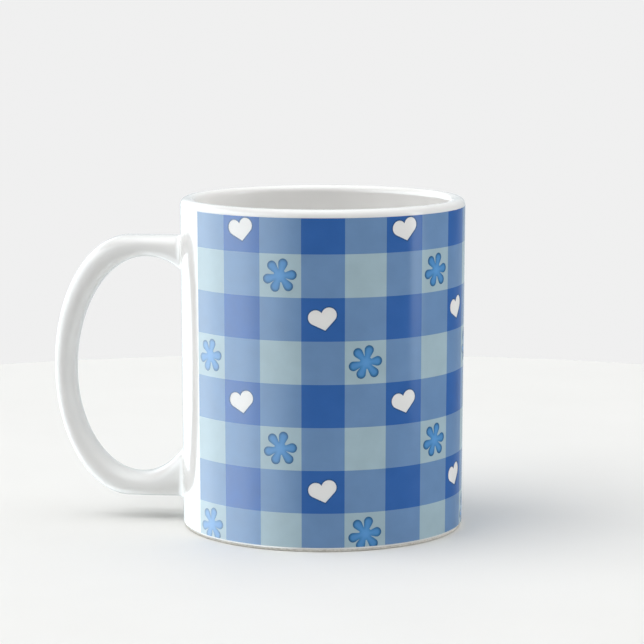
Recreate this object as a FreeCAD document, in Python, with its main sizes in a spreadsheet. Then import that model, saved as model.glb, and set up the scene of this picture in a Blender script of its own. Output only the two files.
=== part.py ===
import FreeCAD, Part
import math
import os

import Sketcher

# A straight-sided stoneware mug with a cast strap handle, glazed all over except for its foot
# ring, with a check-patterned transfer print wrapped round the wall.
# Millimetres. +Z is up. The origin is on the cup's axis, level with the foot. The handle is on -X.

SIZES = (
    ("mug_height", 95.4, "foot to the crest of the lip"),
    ("rim_radius", 41.0, "glazed wall just under the lip"),
    ("base_radius", 40.5, "glazed wall just above the foot"),
    ("lip_radius", 2.05, "half round of the glazed lip"),
    ("coat", 0.3, "thickness of the glaze"),
    ("coat_bottom", 0.8, "height where the outer glaze ends"),
    ("coat_thinning", 0.4, "height over which it thins out there"),
    ("inner_base_radius", 36.4, "glazed inner wall, where the floor's corner begins"),
    ("floor_top", 6.0, "height of the glazed floor"),
    ("floor_corner", 8.0, "radius between the floor and the inner wall"),
    ("foot_inner_radius", 35.6, "inner edge of the foot ring"),
    ("foot_edge", 0.5, "rounded outer edge of the foot ring"),
    ("foot_hollow", 2.0, "depth of the recess inside the foot ring"),
    ("strap_width", 12.0, "glazed handle, side to side"),
    ("strap_edge", 2.7, "rounded edge of the glazed handle"),
    ("root_start", 36.0, "the handle's blank begins this far from the axis"),
    ("outer_bow_start", 56.9, "outer curve begins this far from the axis"),
    ("outer_bow_reach", 22.4, "half width of the outer curve"),
    ("outer_bow_rise", 38.5, "half height of the outer curve"),
    ("outer_bow_middle", 45.1, "height of the outer curve's middle"),
    ("inner_bow_tip", 73.6, "inner curve's farthest point from the axis"),
    ("inner_bow_middle", 42.8, "height of that point"),
    ("upper_bow_reach", 22.1, "half width of the inner curve above it"),
    ("upper_bow_rise", 34.6, "height of the inner curve above it"),
    ("lower_bow_reach", 19.3, "half width of the inner curve below it"),
    ("lower_bow_rise", 29.4, "height of the inner curve below it"),
    ("slip_fillet", 2.0, "fillet of slip where the handle meets the wall"),
    ("film", 0.1, "thickness of the printed wrap"),
    ("wrap_length", 200.0, "printed wrap, measured round the wall"),
    ("wrap_bottom", 1.3, "height of the wrap's lower edge"),
    ("wrap_top", 93.2, "height of the wrap's upper edge"),
    ("check_side", 12.05, "side of one square of the check pattern"),
    ("first_stripe", 83.3, "height of the line under the top row of squares"),
    ("heart_lobe", 2.1, "radius of a heart's lobe"),
    ("heart_spread", 1.9, "lobe centre to the heart's middle line"),
    ("heart_depth", 4.0, "lobe centres down to the point"),
    ("heart_lift", 1.0, "lobe centres above the middle of the square"),
    ("heart_lean", 12.0, "lean of a heart in degrees"),
)

# Each row of hearts: the row of squares it is in, and the first column that has one.
HEART_ROWS = ((0, 1), (2, 3), (4, 1), (6, 3))
HEARTS_IN_A_ROW = 4
COLUMNS_TO_NEXT_HEART = 4

LEFT, RIGHT = 1, -1  # which way an arc turns as its outline is followed
ORIGIN = -1  # a sketch's own origin point
START, FINISH, MIDDLE = 1, 2, 3  # which point of a line or arc a constraint holds
SAME_PLACE = 1e-3  # edges nearer than this to a place are at it

LIP_START = "(@mug_height - @lip_radius)"
CREST_RADIUS = "(@rim_radius - @lip_radius)"
INNER_RIM = "(@rim_radius - 2 * @lip_radius)"
COAT_FULL = "(@coat_bottom + @coat_thinning)"
CORNER_TOP = "(@floor_top + @floor_corner)"
CORNER_INNER = "(@inner_base_radius - @floor_corner)"

NODES = (
    "cup_body",
    "handle",
    "upper_joint",
    "lower_joint",
    "liner_glaze",
    "outer_glaze",
    "handle_glaze",
    "base_glaze",
    "printed_wrap",
)

doc = FreeCAD.newDocument("mug")


def make_sheet():
    sheet = doc.addObject("Spreadsheet::Sheet", "Sizes")
    for row, (alias, value, meaning) in enumerate(SIZES, start=1):
        sheet.set(f"A{row}", meaning)
        sheet.set(f"B{row}", str(value))
        sheet.setAlias(f"B{row}", alias)
    doc.recompute()
    return sheet


sizes = make_sheet()


def expression(words):
    """The sheet's sizes are written @name for short."""
    return words.replace("@", "Sizes.")


def value_of(words):
    return float(sizes.evalExpression(expression(words)))


def wall_radius(height):
    """The glazed outer wall's radius at a height: it narrows evenly from the rim to the foot."""
    slope = f"(@rim_radius - @base_radius) / ({LIP_START} - {COAT_FULL})"
    return f"@base_radius + {slope} * ({height} - {COAT_FULL})"


def new_sketch(body, name, role):
    sketch = body.newObject("Sketcher::SketchObject", name)
    plane = next(item for item in body.Origin.OriginFeatures if item.Role == role)
    sketch.AttachmentSupport = (plane, [""])
    sketch.MapMode = "FlatFace"
    return sketch


def constrain(sketch, kind, *references, words=None):
    """Adds a constraint, and binds its size to the sheet when it has one."""
    if words is None:
        return sketch.addConstraint(Sketcher.Constraint(kind, *references))
    value = value_of(words)
    index = sketch.addConstraint(Sketcher.Constraint(kind, *references, value))
    sketch.setExpression(f"Constraints[{index}]", expression(words))
    return index


def pin(sketch, shape, point, across, up):
    """Holds a point of the sketch at its distances from the origin."""
    constrain(sketch, "DistanceX", ORIGIN, START, shape, point, words=across)
    constrain(sketch, "DistanceY", ORIGIN, START, shape, point, words=up)


def arc_between(start, finish, radius, turn):
    chord = finish - start
    to_left = FreeCAD.Vector(-chord.y, chord.x, 0).normalize()
    centre_gap = math.sqrt(radius**2 - (chord.Length / 2) ** 2)
    centre = (start + finish) / 2 + to_left * centre_gap * turn
    return Part.Arc(start, centre - to_left * radius * turn, finish)


def draw_outline(sketch, corners):
    """Closes an outline through its corners. A corner is (across, up) where a straight side
    begins, or (across, up, radius, turn) where an arc begins."""
    points = [FreeCAD.Vector(value_of(row[0]), value_of(row[1]), 0) for row in corners]
    following = points[1:] + points[:1]
    for start, finish, corner in zip(points, following, corners):
        if len(corner) == 4:
            sketch.addGeometry(arc_between(start, finish, value_of(corner[2]), corner[3]))
        else:
            sketch.addGeometry(Part.LineSegment(start, finish))
    join_outline(sketch, corners)


def join_outline(sketch, corners):
    for side, corner in enumerate(corners):
        drawn = sketch.Geometry[side]
        runs_backwards = corner[3:] == (RIGHT,)
        start, finish = (FINISH, START) if runs_backwards else (START, FINISH)
        following = (side + 1) % len(corners)
        next_start = FINISH if corners[following][3:] == (RIGHT,) else START
        constrain(sketch, "Coincident", side, finish, following, next_start)
        pin(sketch, side, start, corner[0], corner[1])
        if isinstance(drawn, Part.ArcOfCircle):
            constrain(sketch, "Radius", side, words=corner[2])


def add_revolved(body, name, corners, kind="PartDesign::Revolution"):
    """An outline in the XZ plane turned about the cup's axis, to add or to cut."""
    sketch = new_sketch(body, f"{name}_outline", "XZ_Plane")
    draw_outline(sketch, corners)
    feature = body.newObject(kind, f"{name}_turned")
    feature.Profile = sketch
    feature.ReferenceAxis = (sketch, ["V_Axis"])
    feature.Angle = 360
    return feature


def cup_body():
    """Foot ring, floor, wall and lip in bare clay."""
    body = doc.addObject("PartDesign::Body", "cup_body")
    corners = [
        ("@foot_inner_radius", "0"),
        ("@base_radius - @coat - @foot_edge", "0", "@foot_edge", LEFT),
        ("@base_radius - @coat", "@foot_edge"),
        ("@base_radius - @coat", "@coat_bottom"),
        ("@rim_radius - @coat", LIP_START, "@lip_radius - @coat", LEFT),
        (CREST_RADIUS, "@mug_height - @coat", "@lip_radius - @coat", LEFT),
        (f"{INNER_RIM} + @coat", LIP_START),
        ("@inner_base_radius + @coat", CORNER_TOP, "@floor_corner + @coat", RIGHT),
        (CORNER_INNER, "@floor_top - @coat"),
        ("0", "@floor_top - @coat"),
        ("0", "@foot_hollow"),
        ("@foot_inner_radius", "@foot_hollow"),
    ]
    add_revolved(body, "cup", corners)


def liner_glaze():
    """The glaze poured inside: from the crest of the lip down the wall and over the floor."""
    body = doc.addObject("PartDesign::Body", "liner_glaze")
    corners = [
        (CREST_RADIUS, "@mug_height", "@lip_radius", LEFT),
        (INNER_RIM, LIP_START),
        ("@inner_base_radius", CORNER_TOP, "@floor_corner", RIGHT),
        (CORNER_INNER, "@floor_top"),
        ("0", "@floor_top"),
        ("0", "@floor_top - @coat"),
        (CORNER_INNER, "@floor_top - @coat", "@floor_corner + @coat", LEFT),
        ("@inner_base_radius + @coat", CORNER_TOP),
        (f"{INNER_RIM} + @coat", LIP_START, "@lip_radius - @coat", RIGHT),
        (CREST_RADIUS, "@mug_height - @coat"),
    ]
    add_revolved(body, "liner", corners)


def outer_glaze():
    """The glaze dipped outside, from the crest of the lip to just above the foot, open where
    the handle is stuck to the clay."""
    blank = doc.addObject("PartDesign::Body", "outer_coat")
    corners = [
        ("@base_radius - @coat", "@coat_bottom"),
        ("@base_radius", COAT_FULL),
        ("@rim_radius", LIP_START, "@lip_radius", LEFT),
        (CREST_RADIUS, "@mug_height"),
        (CREST_RADIUS, "@mug_height - @coat", "@lip_radius - @coat", RIGHT),
        ("@rim_radius - @coat", LIP_START),
    ]
    add_revolved(blank, "outer_coat", corners)
    cut("outer_glaze", blank, doc.getObject("handle"))


def base_glaze():
    """The glaze in the recess under the floor."""
    body = doc.addObject("PartDesign::Body", "base_glaze")
    corners = [
        ("0", "@foot_hollow - @coat"),
        ("@foot_inner_radius", "@foot_hollow - @coat"),
        ("@foot_inner_radius", "@foot_hollow"),
        ("0", "@foot_hollow"),
    ]
    add_revolved(body, "base", corners)


def solid_core(inset, foot):
    """The outline of everything inside the wall's outer surface, less an inset."""
    return [
        ("0", foot),
        (f"@base_radius - {inset}", foot),
        (f"@rim_radius - {inset}", LIP_START),
        ("0", LIP_START),
    ]


def add_ellipse_arc(sketch, centre, reach, rise, first, last, slides=False):
    """Part of an upright ellipse whose farthest point is on -X. Angles run from its top, through
    that point. Its centre and both half sizes are bound to the sheet, but one that slides is left
    free to move across until it meets its neighbour."""
    middle = FreeCAD.Vector(value_of(centre[0]), value_of(centre[1]), 0)
    top = middle + FreeCAD.Vector(0, value_of(rise), 0)
    side = middle - FreeCAD.Vector(value_of(reach), 0, 0)
    ellipse = Part.Ellipse(top, side, middle)
    arc = sketch.addGeometry(Part.ArcOfEllipse(ellipse, first, last))
    sketch.exposeInternalGeometry(arc)
    long_axis, short_axis = arc + 1, arc + 2
    if not slides:
        constrain(sketch, "DistanceX", ORIGIN, START, arc, MIDDLE, words=centre[0])
    constrain(sketch, "DistanceY", ORIGIN, START, arc, MIDDLE, words=centre[1])
    constrain(sketch, "Vertical", long_axis)
    constrain(sketch, "Distance", long_axis, words=f"2 * ({rise})")
    constrain(sketch, "Distance", short_axis, words=f"2 * ({reach})")
    return arc


def draw_strap(sketch, inset):
    """The handle from the side: an outer half ellipse with level arms to the wall, and an inner
    curve of two quarter ellipses that runs on past its top and bottom, down and up to the wall."""
    root = value_of("-@root_start")
    quarter = math.pi / 2
    outer = add_ellipse_arc(
        sketch,
        ("-@outer_bow_start", "@outer_bow_middle"),
        f"@outer_bow_reach - {inset}",
        f"@outer_bow_rise - {inset}",
        0,
        2 * quarter,
    )
    upper_reach = value_of(f"@upper_bow_reach + {inset}")
    upper_centre = "@upper_bow_reach - @inner_bow_tip"
    overrun = math.asin((root - value_of(upper_centre)) / upper_reach)
    upper = add_ellipse_arc(
        sketch,
        (upper_centre, "@inner_bow_middle"),
        f"@upper_bow_reach + {inset}",
        f"@upper_bow_rise + {inset}",
        -overrun,
        quarter,
    )
    lower_reach = value_of(f"@lower_bow_reach + {inset}")
    lower_centre = "@lower_bow_reach - @inner_bow_tip"
    overrun = math.asin((root - value_of(lower_centre)) / lower_reach)
    lower = add_ellipse_arc(
        sketch,
        (lower_centre, "@inner_bow_middle"),
        f"@lower_bow_reach + {inset}",
        f"@lower_bow_rise + {inset}",
        quarter,
        2 * quarter + overrun,
        slides=True,
    )
    close_strap(sketch, outer, upper, lower)


def close_strap(sketch, outer, upper, lower):
    """Joins the three curves with the two level arms and the two upright ends at the root."""
    root = value_of("-@root_start")
    outer_top = sketch.Geometry[outer].StartPoint
    outer_bottom = sketch.Geometry[outer].EndPoint
    inner_top = sketch.Geometry[upper].StartPoint
    inner_bottom = sketch.Geometry[lower].EndPoint
    top_corner = FreeCAD.Vector(root, outer_top.y, 0)
    bottom_corner = FreeCAD.Vector(root, outer_bottom.y, 0)
    top_arm = sketch.addGeometry(Part.LineSegment(top_corner, outer_top))
    bottom_arm = sketch.addGeometry(Part.LineSegment(outer_bottom, bottom_corner))
    bottom_end = sketch.addGeometry(Part.LineSegment(bottom_corner, inner_bottom))
    top_end = sketch.addGeometry(Part.LineSegment(inner_top, top_corner))
    constrain(sketch, "Coincident", top_arm, FINISH, outer, START)
    constrain(sketch, "Coincident", outer, FINISH, bottom_arm, START)
    constrain(sketch, "Coincident", bottom_arm, FINISH, bottom_end, START)
    constrain(sketch, "Coincident", bottom_end, FINISH, lower, FINISH)
    constrain(sketch, "Coincident", lower, START, upper, FINISH)
    constrain(sketch, "Coincident", upper, START, top_end, START)
    constrain(sketch, "Coincident", top_end, FINISH, top_arm, START)
    for level in (top_arm, bottom_arm):
        constrain(sketch, "Horizontal", level)
    for upright in (top_end, bottom_end):
        constrain(sketch, "Vertical", upright)
        constrain(sketch, "DistanceX", ORIGIN, START, upright, START, words="-@root_start")
    for tangent_end in (START, FINISH):
        constrain(sketch, "DistanceX", outer, tangent_end, outer, MIDDLE, words="0")
    constrain(sketch, "DistanceY", upper, FINISH, upper, MIDDLE, words="0")


def side_edges(strap, half_width):
    """The names of the strap's long edges, which are rounded; those of its root ends aren't."""
    root = value_of("-@root_start")
    names = []
    for number, edge in enumerate(strap.Edges, start=1):
        box = edge.BoundBox
        on_a_side = box.YLength < SAME_PLACE and abs(abs(box.YMin) - half_width) < SAME_PLACE
        at_the_root = box.XLength < SAME_PLACE and abs(box.XMin - root) < SAME_PLACE
        if on_a_side and not at_the_root:
            names.append(f"Edge{number}")
    return names


def strap_body(name, inset, foot):
    """A handle shrunk by an inset all over, and cut off where it meets the wall, also inset."""
    body = doc.addObject("PartDesign::Body", name)
    sketch = new_sketch(body, f"{name}_outline", "XZ_Plane")
    draw_strap(sketch, inset)
    pad = body.newObject("PartDesign::Pad", f"{name}_pad")
    pad.Profile = sketch
    pad.SideType = "Symmetric"
    pad.setExpression("Length", expression(f"@strap_width - 2 * {inset}"))
    doc.recompute()
    rounded = body.newObject("PartDesign::Fillet", f"{name}_edges")
    rounded.Base = (pad, side_edges(pad.Shape, pad.Length.Value / 2))
    rounded.setExpression("Radius", expression(f"@strap_edge - {inset}"))
    add_revolved(body, f"{name}_root", solid_core(inset, foot), "PartDesign::Groove")
    doc.recompute()
    return body


def handle():
    """The cast clay handle, and a second one as large as the glaze makes it."""
    strap_body("handle", "@coat", "@coat_bottom")
    strap_body("coated_handle", "0", COAT_FULL)


def handle_glaze():
    """The glaze all round the handle."""
    cut("handle_glaze", doc.getObject("coated_handle"), doc.getObject("handle"))


def cut(name, base, tool):
    result = doc.addObject("Part::Cut", name)
    result.Base = base
    result.Tool = tool
    doc.recompute()
    return result


def is_seam(edge):
    """Whether an edge is where the handle meets the wall: on the handle's side, clear of the rim
    and the foot, and on the wall at both ends and the middle."""
    for share in (0, 0.5, 1):
        span = edge.LastParameter - edge.FirstParameter
        point = edge.valueAt(edge.FirstParameter + share * span)
        below_rim = point.z < value_of(LIP_START) - value_of("@slip_fillet")
        above_foot = point.z > value_of(COAT_FULL) + value_of("@slip_fillet")
        if not (below_rim and above_foot and point.x < 0):
            return False
        off_the_wall = math.hypot(point.x, point.y) - value_of(wall_radius(f"{point.z}"))
        if abs(off_the_wall) > SAME_PLACE:
            return False
    return True


def slip_joints():
    """The slip that holds the handle, seen as a small fillet all round each root: what a fillet
    adds when the glazed cup and handle are one solid."""
    core = doc.addObject("PartDesign::Body", "coated_core")
    add_revolved(core, "core", solid_core("0", COAT_FULL))
    joined = doc.addObject("Part::Fuse", "cup_with_handle")
    joined.Base = core
    joined.Tool = doc.getObject("coated_handle")
    doc.recompute()
    filleted = doc.addObject("Part::Fillet", "cup_with_fillets")
    filleted.Base = joined
    radius = value_of("@slip_fillet")
    seam = [n for n, edge in enumerate(joined.Shape.Edges, start=1) if is_seam(edge)]
    filleted.Edges = [(number, radius, radius) for number in seam]
    doc.recompute()
    collars = cut("slip_collars", filleted, joined)
    for name, bottom in (("upper_joint", "@inner_bow_middle"), ("lower_joint", "0")):
        half = doc.addObject("Part::Box", f"{name}_side")
        half.setExpression("Length", expression("@outer_bow_start"))
        half.setExpression("Width", expression("2 * @strap_width"))
        half.setExpression("Height", expression("@mug_height - @inner_bow_middle"))
        half.setExpression("Placement.Base.x", expression("-@outer_bow_start"))
        half.setExpression("Placement.Base.y", expression("-@strap_width"))
        half.setExpression("Placement.Base.z", expression(bottom))
        joint = doc.addObject("Part::Common", name)
        joint.Base = collars
        joint.Tool = half
    doc.recompute()


def heart_sketch(body, row, column):
    """One heart of two round lobes and two straight sides tangent to them, drawn about the middle
    of its square in a plane through the axis that faces the square."""
    sketch = new_sketch(body, f"heart_{row}_outline", "XZ_Plane")
    cleft = "@heart_lift + sqrt(@heart_lobe ^ 2 - @heart_spread ^ 2)"
    slant = "sqrt(@heart_spread ^ 2 + @heart_depth ^ 2)"
    half_point = f"(atan(@heart_spread / @heart_depth) + asin(@heart_lobe / {slant}))"
    widest = "(@heart_spread + @heart_lobe)"
    tangent = f"(@heart_spread + @heart_lobe * cos({half_point}))"
    tangent_height = f"@heart_lift - @heart_lobe * sin({half_point})"
    corners = [
        ("0", cleft, "@heart_lobe", LEFT),
        (f"-{widest}", "@heart_lift", "@heart_lobe", LEFT),
        (f"-{tangent}", tangent_height),
        ("0", "@heart_lift - @heart_depth"),
        (tangent, tangent_height, "@heart_lobe", LEFT),
        (widest, "@heart_lift", "@heart_lobe", LEFT),
    ]
    draw_outline(sketch, corners)
    square_angle = f"({column} + 0.5) * @check_side / @rim_radius"
    from_handle = value_of(f"{square_angle} - @wrap_length / @rim_radius / 2")
    facing = FreeCAD.Rotation(FreeCAD.Vector(0, 1, 0), math.degrees(from_handle) + 90)
    leaning = FreeCAD.Rotation(FreeCAD.Vector(0, 0, 1), value_of("@heart_lean"))
    sketch.AttachmentOffset = FreeCAD.Placement(FreeCAD.Vector(), facing * leaning)
    height = f"@first_stripe - ({row} - 0.5) * @check_side"
    sketch.setExpression("AttachmentOffset.Base.y", expression(height))
    return sketch


def printed_wrap():
    """The ink film round the wall, with a row of heart-shaped openings in every other row of
    squares, where the white glaze shows."""
    body = doc.addObject("PartDesign::Body", "printed_wrap")
    corners = [
        (wall_radius("@wrap_bottom"), "@wrap_bottom"),
        (f"{wall_radius('@wrap_bottom')} + @film", "@wrap_bottom"),
        (f"{wall_radius('@wrap_top')} + @film", "@wrap_top"),
        (wall_radius("@wrap_top"), "@wrap_top"),
    ]
    film = add_revolved(body, "wrap", corners)
    film.setExpression("Angle", expression("@wrap_length / @rim_radius * 1 rad"))
    film.Midplane = True
    doc.recompute()
    for row, column in HEART_ROWS:
        add_heart_row(body, row, column)


def add_heart_row(body, row, column):
    whole = body.Shape.Volume
    opening = body.newObject("PartDesign::Pocket", f"heart_{row}_opening")
    opening.Profile = heart_sketch(body, row, column)
    opening.Reversed = True
    opening.setExpression("Length", expression("2 * @rim_radius"))
    doc.recompute()
    spread = body.newObject("PartDesign::PolarPattern", f"heart_{row}_pattern")
    spread.Originals = [opening]
    z_axis = next(item for item in body.Origin.OriginFeatures if item.Role == "Z_Axis")
    spread.Axis = (z_axis, [""])
    spread.Mode = "Spacing"
    spread.Occurrences = HEARTS_IN_A_ROW
    spacing = f"{COLUMNS_TO_NEXT_HEART} * @check_side / @rim_radius * 1 rad"
    spread.setExpression("Offset", expression(spacing))
    body.Tip = spread
    doc.recompute()
    print(f"row {row}: openings take {whole - body.Shape.Volume:.2f} mm3 of the film")


def check_document():
    for item in doc.Objects:
        if "Invalid" in item.State or "Error" in item.State:
            raise RuntimeError(f"{item.Label} did not recompute: {item.State}")
    for name in NODES:
        shape = doc.getObject(name).Shape
        if shape.isNull() or not shape.isValid():
            raise RuntimeError(f"{name} has no valid shape")
        print(f"{name}: {len(shape.Solids)} solid, {shape.Volume:.1f} mm3")


def write_parts():
    os.makedirs("parts", exist_ok=True)
    for name in NODES:
        doc.getObject(name).Shape.exportStep(f"parts/{name}.step")


cup_body()
liner_glaze()
base_glaze()
handle()
outer_glaze()
handle_glaze()
slip_joints()
printed_wrap()
doc.recompute()
check_document()
write_parts()
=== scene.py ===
import functools
import math

import bpy
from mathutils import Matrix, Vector


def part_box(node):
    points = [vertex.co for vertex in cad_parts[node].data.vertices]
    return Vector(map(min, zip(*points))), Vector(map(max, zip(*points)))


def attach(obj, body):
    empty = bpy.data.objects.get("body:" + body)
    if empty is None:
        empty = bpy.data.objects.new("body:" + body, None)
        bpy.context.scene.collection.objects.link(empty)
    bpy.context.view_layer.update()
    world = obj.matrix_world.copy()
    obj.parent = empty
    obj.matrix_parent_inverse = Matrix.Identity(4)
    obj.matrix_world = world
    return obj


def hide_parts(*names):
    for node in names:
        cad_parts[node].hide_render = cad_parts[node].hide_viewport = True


# A straight-sided glazed mug with a strap handle, and a printed wrap of blue checks with hearts and
# daisies. Metres, +Z up, the origin on the cup's axis level with its foot, the handle on -X.

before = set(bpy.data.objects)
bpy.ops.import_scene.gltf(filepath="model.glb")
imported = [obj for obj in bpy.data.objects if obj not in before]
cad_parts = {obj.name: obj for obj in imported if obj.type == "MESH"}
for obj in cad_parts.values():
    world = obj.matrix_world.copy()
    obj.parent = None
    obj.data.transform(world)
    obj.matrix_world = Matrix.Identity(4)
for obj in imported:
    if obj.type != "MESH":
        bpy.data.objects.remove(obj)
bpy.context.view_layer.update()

MM = 0.001

# Sizes that the boxes of the CAD nodes give.
COAT_LOW, COAT_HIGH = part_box("outer_glaze")
BASE_LOW, BASE_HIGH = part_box("base_glaze")
LINER_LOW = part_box("liner_glaze")[0]
STRAP_LOW, STRAP_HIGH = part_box("handle_glaze")
PRINT_LOW, PRINT_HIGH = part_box("printed_wrap")

MUG_HEIGHT = COAT_HIGH.z
RIM_RADIUS = COAT_HIGH.y
COAT_BOTTOM = COAT_LOW.z
COAT = BASE_HIGH.z - BASE_LOW.z
FLOOR_TOP = LINER_LOW.z + COAT
FOOT_HOLLOW = BASE_HIGH.z
FOOT_INNER_RADIUS = BASE_HIGH.x
STRAP_HALF_WIDTH = STRAP_HIGH.y

# The cup's other sizes, as the CAD model has them.
BASE_RADIUS = 40.5 * MM
LIP_RADIUS = 2.05 * MM
COAT_THINNING = 0.4 * MM
INNER_BASE_RADIUS = 36.4 * MM
FLOOR_CORNER = 8.0 * MM
FOOT_EDGE = 0.5 * MM

LIP_START = MUG_HEIGHT - LIP_RADIUS
CREST_RADIUS = RIM_RADIUS - LIP_RADIUS
INNER_RIM = CREST_RADIUS - LIP_RADIUS
COAT_FULL = COAT_BOTTOM + COAT_THINNING
CORNER_TOP = FLOOR_TOP + FLOOR_CORNER
CORNER_INNER = INNER_BASE_RADIUS - FLOOR_CORNER

# The handle is made of half ellipses, each with its reach across and its rise.
OUTER_BOW_START = 56.9 * MM
OUTER_BOW_MIDDLE = (STRAP_LOW.z + STRAP_HIGH.z) / 2
OUTER_BOW_REACH = -STRAP_LOW.x - OUTER_BOW_START
OUTER_BOW_RISE = (STRAP_HIGH.z - STRAP_LOW.z) / 2
INNER_BOW_TIP = 73.6 * MM
INNER_BOW_MIDDLE = 42.8 * MM
INNER_BOWS = (  # reach, rise, and which way from the middle
    (22.1 * MM, 34.6 * MM, 1),
    (19.3 * MM, 29.4 * MM, -1),
)
STRAP_FULLNESS = 0.8
SLIP_FILLET = 2.0 * MM
BURIED = 0.15 * MM
ROOTS = {  # turns along the outer bow, inside the wall and well clear of it
    "upper": (-0.9, 0.6),
    "lower": (math.pi + 0.9, math.pi - 0.6),
}

# Sizes of the print, measured round the wall and up it.
WRAP_LENGTH = 200.0 * MM
CHECK_SIDE = 12.05 * MM
FIRST_STRIPE = 83.3 * MM
HEART_LOBE = 2.1 * MM
HEART_SPREAD = 1.9 * MM
HEART_DEPTH = 4.0 * MM
HEART_LIFT = 1.0 * MM
HEART_LEAN = math.radians(12)
KEYLINE = 0.35 * MM
HEARTS = {0: (1, 5, 9, 13), 2: (3, 7, 11, 15), 4: (1, 5, 9, 13), 6: (3, 7, 11, 15)}
DAISIES = {1: (2, 6, 10, 14), 3: (0, 4, 8, 12, 16), 5: (2, 6, 10, 14), 7: (0, 4, 8, 12, 16)}
PETALS = ((5, 4.8), (75, 4.9), (130, 4.95), (195, 5.05), (246, 4.8), (310, 5.1))  # degrees, mm
PETAL_START = 1.2 * MM
PETAL_START_WIDTH = 0.65 * MM
PETAL_TIP_WIDTH = 1.36 * MM
DAISY_MIDDLE = 1.8 * MM
PETAL_REACH = 5.0 * MM
PETAL_SHADING = 0.8 * MM
TIP_DARKNESS = 0.3  # of the darkness at a petal's edge
INK_TOP = 0.06 * MM
DAISY_TOP = 0.09 * MM

# Fineness of the meshes, in steps, rays, rings and sides.
AROUND = 256
ROUND_STEPS = 14
WALL_STEPS = 12
FLAT_STEPS = 6
FOOT_STEPS = 3
SQUARE_STEPS = 8
HEART_RAYS = 96
HEART_RINGS = 4
KEYLINE_RINGS = 2
DAISY_RAYS = 180
DAISY_RINGS = 9
STRAP_RINGS = 120
STRAP_SIDES = 56
FILLET_STEPS = 8
STRAP_ANGLES = [math.tau * number / STRAP_SIDES for number in range(STRAP_SIDES)]
HALVINGS = 40  # steps of a search, each of which halves what is left
SMALL_TURN = 1e-3  # radians, to measure a slope by
SAME_PLACE = 1e-7  # metres: points this close are the same

# The camera stands a little to the right of the view square to the handle.
CAMERA_TURN = math.radians(9)
CAMERA_DISTANCE = 758.0 * MM
CAMERA_HEIGHT = 165.06 * MM
CAMERA_DOWN = math.radians(7.968)
CAMERA_ASIDE = -0.163 * MM
CAMERA_LENS = 147.7  # millimetres, on Blender's usual 36 mm sensor
NEAREST_SEEN = 10 * MM

TABLE_RADIUS = 325 * MM

# Radiances in the studio: what the camera sees, what lights the mug, and what only its gloss shows.
BACKDROP = 0.87

AMBIENT = 0.06
BELOW = 0.65
CEILING = 2.0
KEY = 2.4
FILL = 3.0

AMBIENT_IN_GLOSS = 0.1
SOFTBOX = 2.2
SOFTBOX_EDGE = 3.5
STRIP = 2.3
WALLS = 0.6
REFLECTION_COLOUR = (0.85, 0.95, 1.0)


# ---- meshes -------------------------------------------------------------------------------------


def make_mesh(name, faces, material):
    """A smooth mesh. A face is a list of (place, normal) corners; one that repeats is left out."""
    numbers, places, polygons, normals = {}, [], [], []
    for face in faces:
        polygon = []
        for place, normal in face:
            key = rounded(place)
            if key not in numbers:
                numbers[key] = len(places)
                places.append(place)
            if numbers[key] not in polygon:
                polygon.append(numbers[key])
                normals.append(normal)
        polygons.append(polygon)
    mesh = bpy.data.meshes.new(name)
    mesh.from_pydata(places, [], polygons)
    mesh.polygons.foreach_set("use_smooth", [True] * len(polygons))
    mesh.normals_split_custom_set(normals)
    mesh.materials.append(material)
    thing = bpy.data.objects.new(name, mesh)
    bpy.context.collection.objects.link(thing)
    return thing


def make_piece(name, faces, material, slot, *nodes):
    """A piece of the mug that stands for some CAD nodes."""
    piece = make_mesh(name, faces, material)
    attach(piece, "root")
    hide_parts(*nodes)
    return piece


def rounded(point):
    return tuple(round(value / SAME_PLACE) for value in point)


def turned_over(face):
    return [(place, -normal) for place, normal in reversed(face)]


def flattened(face):
    """A face whose corners all have the face's own normal."""
    places = [place for place, normal in face]
    normal = (places[2] - places[0]).cross(places[3] - places[1]).normalized()
    return [(place, normal) for place in places]


def faces_between(rows):
    """Faces between rows of (place, normal) points, each of which goes right round."""
    faces = []
    for row, following in zip(rows, rows[1:]):
        for number in range(len(row)):
            after = (number + 1) % len(row)
            faces.append([row[number], row[after], following[after], following[number]])
    return faces


# ---- turned pieces ------------------------------------------------------------------------------


def straight(start, finish, steps=1):
    """A straight stretch of an outline in (radius, height), as (point, normal) pairs. The solid
    is on the left of the way it runs."""
    start, finish = Vector(start), Vector(finish)
    along = (finish - start).normalized()
    normal = Vector((along.y, -along.x))
    return [(start.lerp(finish, step / steps), normal) for step in range(steps + 1)]


def bend(centre, radius, first, last):
    """A round stretch of an outline, between two angles in degrees. Run anticlockwise it bulges
    out of the solid, and run clockwise it is hollowed into it."""
    bulge = math.copysign(1, last - first)
    stretch = []
    for step in range(ROUND_STEPS + 1):
        angle = math.radians(first + (last - first) * step / ROUND_STEPS)
        away = Vector((math.cos(angle), math.sin(angle)))
        stretch.append((Vector(centre) + away * radius, away * bulge))
    return stretch


def swing(flat, angle):
    """A point or direction in (radius, height), turned about the cup's axis."""
    return Vector((flat[0] * math.cos(angle), flat[0] * math.sin(angle), flat[1]))


def turned(outline):
    """The faces of an outline turned about the cup's axis. Its points are rounded, so that two
    stretches that meet share the very same point."""
    angles = [math.tau * number / AROUND for number in range(AROUND)]
    faces = []
    for stretch in outline:
        rows = []
        for point, normal in stretch:
            shared = [steps * SAME_PLACE for steps in rounded(point)]
            rows.append([(swing(shared, angle), swing(normal, angle)) for angle in angles])
        faces += faces_between(rows)
    return faces


def wall_radius(height):
    """The glazed outer wall's radius: it narrows evenly from the rim to the foot."""
    slope = (RIM_RADIUS - BASE_RADIUS) / (LIP_START - COAT_FULL)
    return BASE_RADIUS + slope * (height - COAT_FULL)


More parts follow.
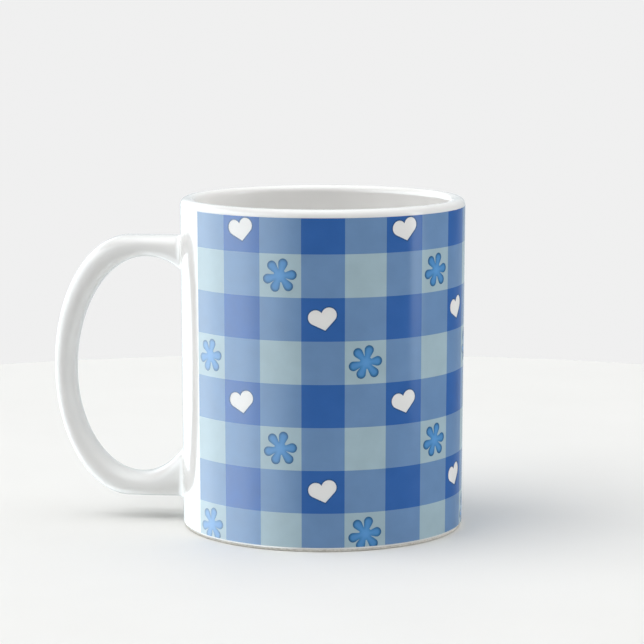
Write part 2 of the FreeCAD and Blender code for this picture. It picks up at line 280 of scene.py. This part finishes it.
def make_clay_cup(clay):
    """The clay cup, glazed all over but for its foot ring."""
    lip = LIP_RADIUS - COAT
    foot = BASE_RADIUS - COAT
    corner = (CORNER_INNER, CORNER_TOP)
    outline = [
        straight((FOOT_INNER_RADIUS + FOOT_EDGE, 0), (foot - FOOT_EDGE, 0), FOOT_STEPS),
        bend((foot - FOOT_EDGE, FOOT_EDGE), FOOT_EDGE, -90, 0),
        straight((foot, FOOT_EDGE), (foot, COAT_BOTTOM)),
        straight((foot, COAT_BOTTOM), (CREST_RADIUS + lip, LIP_START)),
        bend((CREST_RADIUS, LIP_START), lip, 0, 180),
        straight((CREST_RADIUS - lip, LIP_START), (INNER_BASE_RADIUS + COAT, CORNER_TOP)),
        bend(corner, FLOOR_CORNER + COAT, 0, -90),
        straight((CORNER_INNER, FLOOR_TOP - COAT), (0, FLOOR_TOP - COAT)),
        straight((0, FOOT_HOLLOW), (FOOT_INNER_RADIUS, FOOT_HOLLOW)),
        straight((FOOT_INNER_RADIUS, FOOT_HOLLOW), (FOOT_INNER_RADIUS, FOOT_EDGE)),
        bend((FOOT_INNER_RADIUS + FOOT_EDGE, FOOT_EDGE), FOOT_EDGE, 180, 270),
    ]
    make_piece("clay_cup", turned(outline), clay, "fired_clay", "cup_body")


def make_outer_glaze(glaze):
    """The glaze outside, from the crest of the lip to just above the foot."""
    crest = (CREST_RADIUS, LIP_START)
    outline = [
        straight((BASE_RADIUS - COAT, COAT_BOTTOM), (BASE_RADIUS, COAT_FULL)),
        straight((BASE_RADIUS, COAT_FULL), (RIM_RADIUS, LIP_START), WALL_STEPS),
        bend(crest, LIP_RADIUS, 0, 90),
        straight((CREST_RADIUS, MUG_HEIGHT), (CREST_RADIUS, MUG_HEIGHT - COAT)),
        bend(crest, LIP_RADIUS - COAT, 90, 0),
        straight((RIM_RADIUS - COAT, LIP_START), (BASE_RADIUS - COAT, COAT_BOTTOM)),
    ]
    make_piece("outer_glaze_coat", turned(outline), glaze, "white_glaze", "outer_glaze")


def make_liner_glaze(glaze):
    """The glaze inside, from the crest of the lip down the wall and over the floor."""
    crest = (CREST_RADIUS, LIP_START)
    corner = (CORNER_INNER, CORNER_TOP)
    outline = [
        bend(crest, LIP_RADIUS, 90, 180),
        straight((INNER_RIM, LIP_START), (INNER_BASE_RADIUS, CORNER_TOP), WALL_STEPS),
        bend(corner, FLOOR_CORNER, 0, -90),
        straight((CORNER_INNER, FLOOR_TOP), (0, FLOOR_TOP), FLAT_STEPS),
        straight((0, FLOOR_TOP - COAT), (CORNER_INNER, FLOOR_TOP - COAT)),
        bend(corner, FLOOR_CORNER + COAT, -90, 0),
        straight((INNER_BASE_RADIUS + COAT, CORNER_TOP), (INNER_RIM + COAT, LIP_START)),
        bend(crest, LIP_RADIUS - COAT, 180, 90),
        straight((CREST_RADIUS, MUG_HEIGHT - COAT), (CREST_RADIUS, MUG_HEIGHT)),
    ]
    make_piece("liner_glaze_coat", turned(outline), glaze, "white_glaze", "liner_glaze")


def make_base_glaze(glaze):
    """The glaze in the recess under the floor."""
    bottom = FOOT_HOLLOW - COAT
    outline = [
        straight((0, bottom), (FOOT_INNER_RADIUS, bottom), FLAT_STEPS),
        straight((FOOT_INNER_RADIUS, bottom), (FOOT_INNER_RADIUS, FOOT_HOLLOW)),
        straight((FOOT_INNER_RADIUS, FOOT_HOLLOW), (0, FOOT_HOLLOW)),
    ]
    make_piece("base_glaze_coat", turned(outline), glaze, "white_glaze", "base_glaze")


# ---- handle -------------------------------------------------------------------------------------


def outer_bow(turn):
    """A point of the strap's outer curve in (across, up), and the way into the strap there. A turn
    of 0 is the top of its half ellipse and pi the bottom; beyond them are the two level arms."""
    on_bow = min(max(turn, 0), math.pi)
    arm = abs(turn - on_bow) * OUTER_BOW_REACH
    across = arm - OUTER_BOW_START - OUTER_BOW_REACH * math.sin(on_bow)
    up = OUTER_BOW_MIDDLE + OUTER_BOW_RISE * math.cos(on_bow)
    inward = Vector((OUTER_BOW_RISE * math.sin(on_bow), -OUTER_BOW_REACH * math.cos(on_bow)))
    return Vector((across, up)), inward.normalized()


def strap_thickness(point, inward):
    """How far the strap's inner curve is from a point of its outer one."""
    depths = []
    for reach, rise, way in INNER_BOWS:
        middle = Vector((reach - INNER_BOW_TIP, INNER_BOW_MIDDLE))
        start = Vector(((point.x - middle.x) / reach, (point.y - middle.y) / rise))
        along = Vector((inward.x / reach, inward.y / rise))
        nearest = -start.dot(along) / along.length_squared
        spare = nearest**2 - (start.length_squared - 1) / along.length_squared
        if spare >= 0:
            depth = nearest - math.sqrt(spare)
            if (point.y + inward.y * depth - middle.y) * way >= 0:
                depths.append(depth)
    return min(depths)


def filled_out(share):
    """A circle's sine or cosine, bent so that the circle is a little squarer."""
    return math.copysign(abs(share) ** STRAP_FULLNESS, share)


def strap_place(turn, angle):
    """A place on the strap, whose section is a full oval: an angle of 0 is the middle of its outer
    face and pi of its inner one."""
    point, inward = outer_bow(turn)
    depth = strap_thickness(point, inward) * (1 - filled_out(math.cos(angle))) / 2
    across, up = point + inward * depth
    return Vector((across, STRAP_HALF_WIDTH * filled_out(math.sin(angle)), up))


def strap_surface(turn, angle):
    """A place on the strap and its normal."""
    along = strap_place(turn + SMALL_TURN, angle) - strap_place(turn - SMALL_TURN, angle)
    around = strap_place(turn, angle + SMALL_TURN) - strap_place(turn, angle - SMALL_TURN)
    return strap_place(turn, angle), around.cross(along).normalized()


def above_wall(place):
    return math.hypot(place.x, place.y) - wall_radius(place.z)


def wall_normal(place):
    slope = (wall_radius(MUG_HEIGHT) - wall_radius(0)) / MUG_HEIGHT
    radius = math.hypot(place.x, place.y)
    return Vector((place.x, place.y, -slope * radius)).normalized()


def last_turn(is_within, within, beyond):
    """The last turn, on the way from one that is within something to one beyond it, that still is."""
    for _ in range(HALVINGS):
        middle = (within + beyond) / 2
        if is_within(middle):
            within = middle
        else:
            beyond = middle
    return within


def buried_turn(angle, root, depth):
    """Where a line along the strap comes to a depth under the wall's surface."""
    return last_turn(lambda turn: above_wall(strap_place(turn, angle)) < -depth, *ROOTS[root])


def strap_rows(inset, depth):
    """Rows of points round the strap, shrunk by an inset, from one end that is buried in the wall
    to the other."""
    tops = [buried_turn(angle, "upper", depth) for angle in STRAP_ANGLES]
    bottoms = [buried_turn(angle, "lower", depth) for angle in STRAP_ANGLES]
    rows = []
    for ring in range(STRAP_RINGS + 1):
        row = []
        for angle, top, bottom in zip(STRAP_ANGLES, tops, bottoms):
            place, normal = strap_surface(top + (bottom - top) * ring / STRAP_RINGS, angle)
            row.append((place - normal * inset, normal))
        rows.append(row)
    return rows


def make_clay_handle(clay):
    """The clay strap under the glaze, from wall to wall, with its two ends closed."""
    rows = strap_rows(COAT, COAT)
    faces = faces_between(rows)
    for row, way in ((rows[0], -1), (rows[-1], 1)):
        end = [place for place, normal in row][::way]
        normal = (end[STRAP_SIDES // 4] - end[0]).cross(end[STRAP_SIDES // 2] - end[0]).normalized()
        faces.append([(place, normal) for place in end])
    make_piece("clay_handle", faces, clay, "fired_clay", "handle")


def make_handle_glaze(glaze):
    """The glaze round the handle, from wall to wall."""
    skin = strap_rows(0, BURIED)
    lining = strap_rows(COAT, BURIED)
    faces = faces_between(skin) + [turned_over(face) for face in faces_between(lining)]
    rims = faces_between([lining[0], skin[0]]) + faces_between([skin[-1], lining[-1]])
    faces += [flattened(face) for face in rims]
    make_piece("handle_glaze_coat", faces, glaze, "white_glaze", "handle_glaze")


def fillet_row(angle, root):
    """A row of points over the slip from the strap to the wall, on the side of a ball that touches
    both of them, and one more that is buried in both."""

    def is_too_near(turn):
        place, normal = strap_surface(turn, angle)
        return above_wall(place + normal * SLIP_FILLET) < SLIP_FILLET

    place, off_strap = strap_surface(last_turn(is_too_near, *ROOTS[root]), angle)
    ball = place + off_strap * SLIP_FILLET
    off_wall = wall_normal(ball)
    row = []
    for step in range(FILLET_STEPS + 1):
        normal = off_strap.slerp(off_wall, step / FILLET_STEPS)
        row.append((ball - normal * SLIP_FILLET, normal))
    under, normal = strap_surface(buried_turn(angle, root, BURIED), angle)
    row.append((under - normal * BURIED, normal))
    return row


def make_slip_joint(name, root, node, glaze):
    """The ring of slip that holds the handle at one of its roots."""
    rows = [fillet_row(angle, root) for angle in STRAP_ANGLES]
    if root == "upper":
        rows.reverse()
    rings = list(zip(*rows))
    faces = faces_between(rings[:-1])
    hidden = faces_between([rings[-2], rings[-1], rings[0]])
    faces += [flattened(face) for face in hidden]
    make_piece(name, faces, glaze, "white_glaze", node)


# ---- print --------------------------------------------------------------------------------------


def on_wall(point, lift):
    """A place over the wall and its normal, from lengths along the print and up."""
    angle = (point.x - WRAP_LENGTH / 2) / RIM_RADIUS
    place = swing((wall_radius(point.y) + lift, point.y), angle)
    return place, wall_normal(place)


def film(cells, low, high):
    """The faces of a thin closed film over cells of the print, between two lifts. Sides that two
    cells share get no wall."""
    faces, sides = [], {}
    for cell in cells:
        top = [on_wall(point, high) for point in cell]
        bottom = [on_wall(point, low) for point in cell]
        faces += [top, turned_over(bottom)]
        for number in range(len(cell)):
            start, finish = rounded(cell[number - 1]), rounded(cell[number])
            if (finish, start) in sides:
                del sides[finish, start]
            elif start != finish:
                side = [bottom[number - 1], bottom[number], top[number], top[number - 1]]
                sides[start, finish] = flattened(side)
    return faces + list(sides.values())


def square(row, column):
    """The lowest and highest corner of a square, cut off at the edges of the print."""
    top = FIRST_STRIPE - (row - 1) * CHECK_SIDE
    left = column * CHECK_SIDE
    low = Vector((left, max(top - CHECK_SIDE, PRINT_LOW.z)))
    high = Vector((min(left + CHECK_SIDE, WRAP_LENGTH), min(top, PRINT_HIGH.z)))
    return low, high


def middle_of(row, column):
    """The middle that a square has when it isn't cut off."""
    return Vector(((column + 0.5) * CHECK_SIDE, FIRST_STRIPE - (row - 0.5) * CHECK_SIDE))


def plain_cells(row, column):
    low, high = square(row, column)
    cells = []
    for step in range(SQUARE_STEPS):
        left = low.x + (high.x - low.x) * step / SQUARE_STEPS
        right = low.x + (high.x - low.x) * (step + 1) / SQUARE_STEPS
        corners = ((left, low.y), (right, low.y), (right, high.y), (left, high.y))
        cells.append([Vector(corner) for corner in corners])
    return cells


def ring_cells(middle, outlines, shares):
    """Cells between two closed outlines about a middle. The outlines are given together, as
    (direction, inner reach, outer reach) in order round the middle."""
    rows = []
    for share in shares:
        row = []
        for direction, inner, outer in outlines:
            way = Vector((math.cos(direction), math.sin(direction)))
            row.append(middle + way * (inner + (outer - inner) * share))
        rows.append(row)
    cells = []
    for near, far in zip(rows, rows[1:]):
        for number in range(len(outlines)):
            cells.append([near[number - 1], far[number - 1], far[number], near[number]])
    return cells


def even_shares(count):
    return [step / count for step in range(count + 1)]


def box_reach(middle, low, high, direction):
    """How far a box's edge is from a middle inside it."""
    reaches = []
    for axis, way in enumerate((math.cos(direction), math.sin(direction))):
        if abs(way) > SAME_PLACE:
            edge = high[axis] if way > 0 else low[axis]
            reaches.append((edge - middle[axis]) / way)
    return min(reaches)


def heart_reach(direction, margin):
    """How far a heart's edge, grown by a margin, is from the middle of its square. A heart is two
    round lobes, and two straight sides from them to its point."""
    lobe = HEART_LOBE + margin
    leaning = direction - HEART_LEAN
    way = Vector((abs(math.cos(leaning)), math.sin(leaning)))
    centre = Vector((HEART_SPREAD, HEART_LIFT))
    slant = math.asin(HEART_LOBE / math.hypot(HEART_SPREAD, HEART_DEPTH))
    half_point = math.atan2(HEART_SPREAD, HEART_DEPTH) + slant
    side = Vector((math.cos(half_point), -math.sin(half_point)))
    side_start = centre + side * lobe
    if way.y * side_start.x < way.x * side_start.y:
        return (lobe + centre.dot(side)) / way.dot(side)
    toward = centre.dot(way)
    return toward + math.sqrt(toward**2 - centre.length_squared + lobe**2)


def heart_directions(row, column):
    """Directions from a square's middle: even ones that meet its heart's cleft and point, and those
    of the square's corners."""
    low, high = square(row, column)
    directions = [HEART_LEAN + math.tau * ray / HEART_RAYS for ray in range(HEART_RAYS)]
    for corner in (low, high, Vector((low.x, high.y)), Vector((high.x, low.y))):
        away = corner - middle_of(row, column)
        directions.append(math.atan2(away.y, away.x))
    return sorted(direction % math.tau for direction in directions)


def heart_square_cells(row, column):
    """A square with its heart left out, and the keyline round the heart too."""
    middle = middle_of(row, column)
    outlines = []
    for direction in heart_directions(row, column):
        edge = box_reach(middle, *square(row, column), direction)
        outlines.append((direction, heart_reach(direction, KEYLINE), edge))
    return ring_cells(middle, outlines, even_shares(HEART_RINGS))


def keyline_cells(row, column):
    outlines = []
    for direction in heart_directions(row, column):
        outlines.append((direction, heart_reach(direction, 0), heart_reach(direction, KEYLINE)))
    return ring_cells(middle_of(row, column), outlines, even_shares(KEYLINE_RINGS))


def petal_distance(point, direction, length):
    """How far a point is from a petal, below 0 inside it. A petal widens evenly from its small
    round start to its larger round tip."""
    along = Vector((math.cos(direction), math.sin(direction)))
    ahead = along.dot(point) - PETAL_START
    aside = abs(along.cross(point))
    span = length - PETAL_TIP_WIDTH - PETAL_START
    widening = (PETAL_TIP_WIDTH - PETAL_START_WIDTH) / span
    slant = math.sqrt(1 - widening**2)
    passed = slant * ahead + widening * aside
    if passed < 0:
        return math.hypot(ahead, aside) - PETAL_START_WIDTH
    if passed > slant * span:
        return math.hypot(ahead - span, aside) - PETAL_TIP_WIDTH
    return slant * aside - widening * ahead - PETAL_START_WIDTH


def daisy_distance(point):
    petals = [petal_distance(point, math.radians(turn), length * MM) for turn, length in PETALS]
    return min(petals + [point.length - DAISY_MIDDLE])


@functools.cache
def daisy_reach(direction):
    """How far a daisy's edge is from its middle, found by walking in until the edge is met."""
    way = Vector((math.cos(direction), math.sin(direction)))
    reach = CHECK_SIDE / 2
    for _ in range(HALVINGS):
        reach -= daisy_distance(way * reach)
    return reach


def daisy_cells(row, column):
    """A daisy, cut off where the print ends, with rings that get closer towards its edge."""
    middle = middle_of(row, column)
    low, high = Vector((0, PRINT_LOW.z)), Vector((WRAP_LENGTH, PRINT_HIGH.z))
    outlines = []
    for ray in range(DAISY_RAYS):
        direction = math.tau * ray / DAISY_RAYS
        reach = min(daisy_reach(direction), box_reach(middle, low, high, direction))
        outlines.append((direction, 0, reach))
    return ring_cells(middle, outlines, [1 - (1 - share) ** 2 for share in even_shares(DAISY_RINGS)])


def make_daisies(ink):
    """The daisies. Each vertex keeps how dark its ink is, which grows towards the petals' tips and
    most of all towards their edges."""
    places = [(row, column) for row, columns in DAISIES.items() for column in columns]
    faces = []
    for place in places:
        faces += film(daisy_cells(*place), INK_TOP, DAISY_TOP)
    daisies = make_piece("daisies", faces, ink, "printed_ink", "printed_wrap")
    middles = [middle_of(*place) for place in places]
    darkness = daisies.data.attributes.new("darkness", "FLOAT", "POINT")
    for vertex, kept in zip(daisies.data.vertices, darkness.data):
        along = math.atan2(vertex.co.y, vertex.co.x) * RIM_RADIUS + WRAP_LENGTH / 2
        offsets = [Vector((along, vertex.co.z)) - middle for middle in middles]
        offset = min(offsets, key=lambda offset: offset.length)
        edge = max(0, 1 + daisy_distance(offset) / PETAL_SHADING)
        kept.value = offset.length / PETAL_REACH * (TIP_DARKNESS + (1 - TIP_DARKNESS) * edge)


def make_checks(inks):
    """The squares of the check pattern: a dark stripe runs across every other row and up every
    other column, and the ink is darkest where two of them cross."""
    kinds = {name: [] for name in ("checks_crossed", "checks_across", "checks_upright", "checks_pale")}
    keylines = []
    for row in range(1 + math.ceil((FIRST_STRIPE - PRINT_LOW.z) / CHECK_SIDE)):
        for column in range(math.ceil(WRAP_LENGTH / CHECK_SIDE)):
            if row % 2 == 0:
                kind = "checks_crossed" if column % 2 else "checks_across"
            else:
                kind = "checks_upright" if column % 2 else "checks_pale"
            if column in HEARTS.get(row, ()):
                cells = heart_square_cells(row, column)
                keylines += film(keyline_cells(row, column), 0, INK_TOP)
            else:
                cells = plain_cells(row, column)
            kinds[kind] += film(cells, 0, INK_TOP)
    for name, faces in kinds.items():
        make_piece(name, faces, inks[name], "printed_ink", "printed_wrap")
    make_piece("heart_keylines", keylines, inks["heart_keylines"], "printed_ink", "printed_wrap")


# ---- materials ----------------------------------------------------------------------------------

GLAZE_WHITE = (0.89, 0.89, 0.88)
# The liner is a lighter copy of the same white glaze: painted light that brightens the inside of the
# cup.
LINER_WHITE_PAINTED_LIGHTER = (0.96, 0.955, 0.94)
INK_COLOURS = {
    "checks_crossed": (0.034, 0.134, 0.43),
    "checks_across": (0.160, 0.290, 0.51),
    "checks_upright": (0.160, 0.290, 0.51),
    "checks_pale": (0.390, 0.530, 0.60),
    "heart_keylines": (0.026, 0.100, 0.270),
}
INK_POLISH = (0.12, 0.17)
NOISE_LOW = 0.3  # nearly all of a noise's values lie between these two
NOISE_HIGH = 0.7


def new_material(name):
    material = bpy.data.materials.new(name)
    material.use_nodes = True
    return material, material.node_tree, material.node_tree.nodes["Principled BSDF"]


def add_noise(tree, scale, detail):
    """Noise over the object's own space, from features a length across."""
    place = tree.nodes.new("ShaderNodeTexCoord")
    noise = tree.nodes.new("ShaderNodeTexNoise")
    noise.inputs["Scale"].default_value = 1 / scale
    noise.inputs["Detail"].default_value = detail
    tree.links.new(place.outputs["Object"], noise.inputs["Vector"])
    return noise.outputs["Fac"]


def add_range(tree, noise, low, high):
    """Stretches a noise's usual values evenly over a range."""
    ranged = tree.nodes.new("ShaderNodeMapRange")
    ranged.inputs["From Min"].default_value = NOISE_LOW
    ranged.inputs["From Max"].default_value = NOISE_HIGH
    ranged.inputs["To Min"].default_value = low
    ranged.inputs["To Max"].default_value = high
    tree.links.new(noise, ranged.inputs["Value"])
    return ranged.outputs["Result"]


def add_ramp(tree, source, *stops):
    """Colours by a value, from (value, colour) stops."""
    ramp = tree.nodes.new("ShaderNodeValToRGB")
    elements = ramp.color_ramp.elements
    while len(elements) < len(stops):
        elements.new(0.5)
    for element, (value, colour) in zip(elements, stops):
        element.position = value
        element.color = (*colour, 1)
    tree.links.new(source, ramp.inputs["Fac"])
    return ramp.outputs["Color"]


def add_bump(tree, shader, height, depth):
    bump = tree.nodes.new("ShaderNodeBump")
    bump.inputs["Distance"].default_value = depth
    tree.links.new(height, bump.inputs["Height"])
    tree.links.new(bump.outputs["Normal"], shader.inputs["Normal"])


def scaled(colour, factor):
    return tuple(channel * factor for channel in colour)


def make_glaze(name, white):
    """Gloss glaze, that lies in very slight waves and varies a little in tone."""
    material, tree, shader = new_material(name)
    tone = add_noise(tree, 14 * MM, 3)
    stops = ((0.35, scaled(white, 0.985)), (0.65, scaled(white, 1.01)))
    tree.links.new(add_ramp(tree, tone, *stops), shader.inputs["Base Color"])
    polish = add_range(tree, add_noise(tree, 5 * MM, 4), 0.07, 0.12)
    tree.links.new(polish, shader.inputs["Roughness"])
    add_bump(tree, shader, add_noise(tree, 9 * MM, 2), 0.03 * MM)
    return material


def make_ink(name, colour):
    """Fired transfer ink under a gloss: an even tone with faint mottling and a fine grain."""
    material, tree, shader = new_material(name)
    mottling = add_noise(tree, 6 * MM, 5)
    stops = ((0.3, scaled(colour, 0.96)), (0.7, scaled(colour, 1.04)))
    tree.links.new(add_ramp(tree, mottling, *stops), shader.inputs["Base Color"])
    tree.links.new(add_range(tree, mottling, *INK_POLISH), shader.inputs["Roughness"])
    add_bump(tree, shader, add_noise(tree, 0.5 * MM, 2), 0.002 * MM)
    return material


def make_daisy_ink():
    """Ink that is palest in a daisy's middle and darkest at its petals' edges."""
    material, tree, shader = new_material("daisy_ink")
    darkness = tree.nodes.new("ShaderNodeAttribute")
    darkness.attribute_name = "darkness"
    stops = (
        (0.0, (0.115, 0.345, 0.700)),
        (0.3, (0.075, 0.265, 0.570)),
        (0.6, (0.042, 0.165, 0.370)),
        (1.0, (0.020, 0.095, 0.215)),
    )
    tree.links.new(add_ramp(tree, darkness.outputs["Fac"], *stops), shader.inputs["Base Color"])
    mottling = add_noise(tree, 3 * MM, 4)
    tree.links.new(add_range(tree, mottling, *INK_POLISH), shader.inputs["Roughness"])
    return material


def make_clay():
    """Bare fired clay: off-white, rough and finely grained."""
    material, tree, shader = new_material("fired_clay")
    grain = add_noise(tree, 0.8 * MM, 6)
    stops = ((0.3, (0.56, 0.53, 0.48)), (0.55, (0.70, 0.68, 0.63)), (0.75, (0.76, 0.74, 0.70)))
    tree.links.new(add_ramp(tree, grain, *stops), shader.inputs["Base Color"])
    tree.links.new(add_range(tree, grain, 0.75, 0.95), shader.inputs["Roughness"])
    add_bump(tree, shader, grain, 0.08 * MM)
    return material


def make_table():
    """A plain pale surface, a little uneven in tone."""
    material, tree, shader = new_material("pale_table")
    tone = add_noise(tree, 60 * MM, 4)
    stops = ((0.3, (0.825, 0.820, 0.800)), (0.7, (0.845, 0.840, 0.820)))
    tree.links.new(add_ramp(tree, tone, *stops), shader.inputs["Base Color"])
    shader.inputs["Roughness"].default_value = 0.6
    shader.inputs["Specular IOR Level"].default_value = 0.2
    return material


# ---- studio -------------------------------------------------------------------------------------


def add_floor():
    """A round pale table, level with the foot. The gloss on the mug doesn't show it, so that the
    lights' reflections run down to the foot."""
    rings = []
    for radius in (0, TABLE_RADIUS / 4, TABLE_RADIUS):
        ring = [(swing((radius, 0), math.tau * n / AROUND), Vector((0, 0, 1))) for n in range(AROUND)]
        rings.append(ring)
    floor = make_mesh("floor", [list(reversed(face)) for face in faces_between(rings)], make_table())
    floor.visible_glossy = False


def feed(tree, value, socket):
    """Sets a socket to a number, or links it to another node's output."""
    if isinstance(value, (int, float)):
        socket.default_value = value
    else:
        tree.links.new(value, socket)


def math_node(tree, operation, *values):
    node = tree.nodes.new("ShaderNodeMath")
    node.operation = operation
    for socket, value in zip(node.inputs, values):
        feed(tree, value, socket)
    return node.outputs["Value"]


def fade(tree, source, start, finish):
    """0 before the start and 1 past the finish, with a soft step between them."""
    node = tree.nodes.new("ShaderNodeMapRange")
    node.interpolation_type = "SMOOTHSTEP"
    node.inputs["From Min"].default_value = start
    node.inputs["From Max"].default_value = finish
    tree.links.new(source, node.inputs["Value"])
    return node.outputs["Result"]


def panel(tree, bearing, height, sides, ends, radiance):
    """A soft light on the studio's walls. It fades in and out between the first and last two of its
    sides, round the studio, and of its ends, up it."""
    product = math_node(tree, "MULTIPLY", fade(tree, bearing, *sides[:2]), radiance)
    for source, (start, finish) in ((bearing, sides[:1:-1]), (height, ends[:2]), (height, ends[:1:-1])):
        product = math_node(tree, "MULTIPLY", product, fade(tree, source, start, finish))
    return product


def choose(tree, switch, off, on):
    """One of two strengths, by a switch that is 0 or 1."""
    mix = tree.nodes.new("ShaderNodeMix")
    feed(tree, switch, mix.inputs["Factor"])
    feed(tree, off, mix.inputs["A"])
    feed(tree, on, mix.inputs["B"])
    return mix.outputs["Result"]


def add_up(tree, *values):
    return functools.reduce(lambda total, value: math_node(tree, "ADD", total, value), values)


def look_round(tree):
    """Where light comes from: its bearing, in degrees to the right of the camera, and its height,
    in degrees above the table."""
    place = tree.nodes.new("ShaderNodeTexCoord")
    turn = tree.nodes.new("ShaderNodeVectorRotate")
    turn.rotation_type = "Z_AXIS"
    turn.inputs["Angle"].default_value = math.pi / 2 - CAMERA_TURN
    tree.links.new(place.outputs["Generated"], turn.inputs["Vector"])
    split = tree.nodes.new("ShaderNodeSeparateXYZ")
    tree.links.new(turn.outputs["Vector"], split.inputs["Vector"])
    bearing = math_node(tree, "ARCTAN2", split.outputs["Y"], split.outputs["X"])
    height = math_node(tree, "ARCSINE", split.outputs["Z"])
    return math_node(tree, "DEGREES", bearing), math_node(tree, "DEGREES", height)


def light_studio():
    """The light that comes from all round. A key light on the left, a fill light on the right and the
    ceiling light the mug. Its gloss shows the ceiling too, but in place of the other two a large
    softbox on the left, a narrow strip on the right and the pale walls behind, which light nothing
    else."""
    world = bpy.data.worlds.new("studio")
    world.use_nodes = True
    bpy.context.scene.world = world
    tree = world.node_tree
    bearing, height = look_round(tree)
    from_camera = math_node(tree, "ABSOLUTE", bearing)

    below = math_node(tree, "MULTIPLY", fade(tree, height, 0, -4), BELOW)
    ceiling = math_node(tree, "MULTIPLY", fade(tree, height, 35, 80), CEILING)
    key = panel(tree, bearing, height, (-135, -100, -50, -15), (20, 35, 60, 75), KEY)
    fill = panel(tree, bearing, height, (35, 65, 130, 160), (-2, 0, 12, 25), FILL)
    lighting = add_up(tree, AMBIENT, below, ceiling, key, fill)

    softbox = panel(tree, bearing, height, (-130, -104, -70, -48), (-80, -70, 30, 45), SOFTBOX)
    edge = panel(tree, bearing, height, (-175, -140, -52, -11), (-80, -70, 30, 45), SOFTBOX_EDGE)
    strip = panel(tree, bearing, height, (73, 78, 85, 90), (-11, -8, 30, 40), STRIP)
    walls = math_node(tree, "MULTIPLY", fade(tree, from_camera, 125, 180), WALLS)
    reflected = add_up(tree, AMBIENT_IN_GLOSS, ceiling, softbox, edge, strip, walls)

    ray = tree.nodes.new("ShaderNodeLightPath")
    strength = choose(tree, ray.outputs["Is Glossy Ray"], lighting, reflected)
    strength = choose(tree, ray.outputs["Is Camera Ray"], strength, BACKDROP)
    tree.links.new(strength, tree.nodes["Background"].inputs["Strength"])
    colour = add_ramp(tree, ray.outputs["Is Glossy Ray"], (0, (1, 1, 1)), (1, REFLECTION_COLOUR))
    tree.links.new(colour, tree.nodes["Background"].inputs["Color"])


def add_camera():
    camera = bpy.data.objects.new("camera", bpy.data.cameras.new("camera"))
    bpy.context.collection.objects.link(camera)
    camera.data.lens = CAMERA_LENS
    camera.data.clip_start = NEAREST_SEEN
    back = Vector((math.sin(CAMERA_TURN), -math.cos(CAMERA_TURN), 0))
    right = Vector((math.cos(CAMERA_TURN), math.sin(CAMERA_TURN), 0))
    up = Vector((0, 0, CAMERA_HEIGHT))
    camera.location = back * CAMERA_DISTANCE + right * CAMERA_ASIDE + up
    camera.rotation_euler = (math.pi / 2 - CAMERA_DOWN, 0, CAMERA_TURN)
    bpy.context.scene.camera = camera


clay = make_clay()
glaze = make_glaze("white_glaze", GLAZE_WHITE)
# The inside gets a lighter copy of the white glaze, painted light for the inside of the cup.
liner = make_glaze("liner_glaze_painted_lighter", LINER_WHITE_PAINTED_LIGHTER)
make_clay_cup(clay)
make_clay_handle(clay)
make_liner_glaze(liner)
make_base_glaze(glaze)
make_outer_glaze(glaze)
make_handle_glaze(glaze)
make_slip_joint("upper_slip_joint", "upper", "upper_joint", glaze)
make_slip_joint("lower_slip_joint", "lower", "lower_joint", glaze)
make_checks({name: make_ink(name, colour) for name, colour in INK_COLOURS.items()})
make_daisies(make_daisy_ink())
add_floor()
light_studio()
add_camera()
bpy.context.scene.view_settings.view_transform = "Standard"
